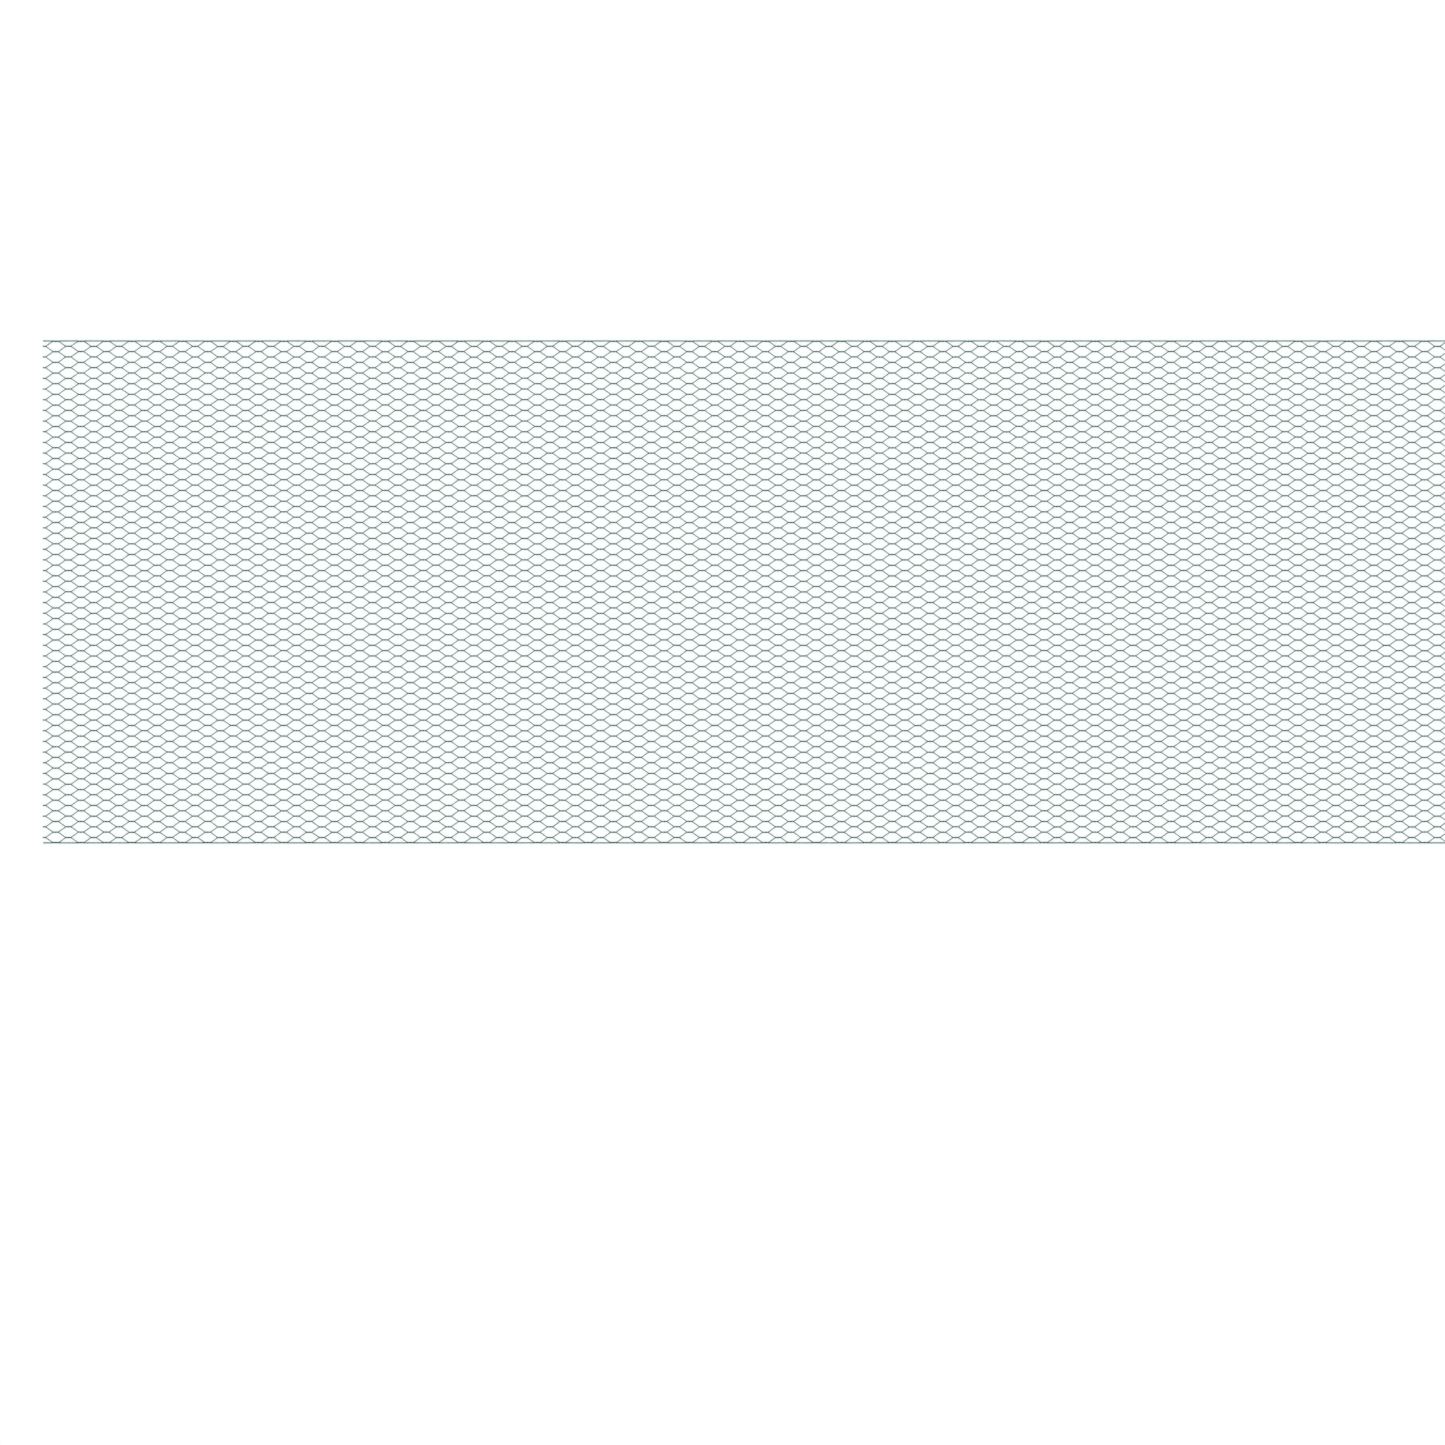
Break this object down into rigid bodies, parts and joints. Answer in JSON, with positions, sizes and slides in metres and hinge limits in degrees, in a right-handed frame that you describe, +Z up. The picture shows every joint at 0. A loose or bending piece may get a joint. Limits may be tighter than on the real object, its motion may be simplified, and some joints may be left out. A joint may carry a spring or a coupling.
{
  "type": "hexagonal wire netting sheet",
  "caption": "Flat sheet of plastic-coated hexagonal wire netting with a selvedge wire along each long edge and cut ends, for fencing and cages.",
  "frame": {"origin": "on the floor under the middle of the flat sheet", "axes": "+X along the length of the stock, the way its twists run, +Y across the width from selvedge to selvedge, +Z up out of the sheet"},
  "size_m": [5.0048, 1.1954, 0.0028],
  "materials": {
    "coated_wire": "satin dark green plastic coat over galvanised steel wire"
  },
  "bodies": {
    "root": {"netting": "coated_wire"}
  },
  "joints": []
}
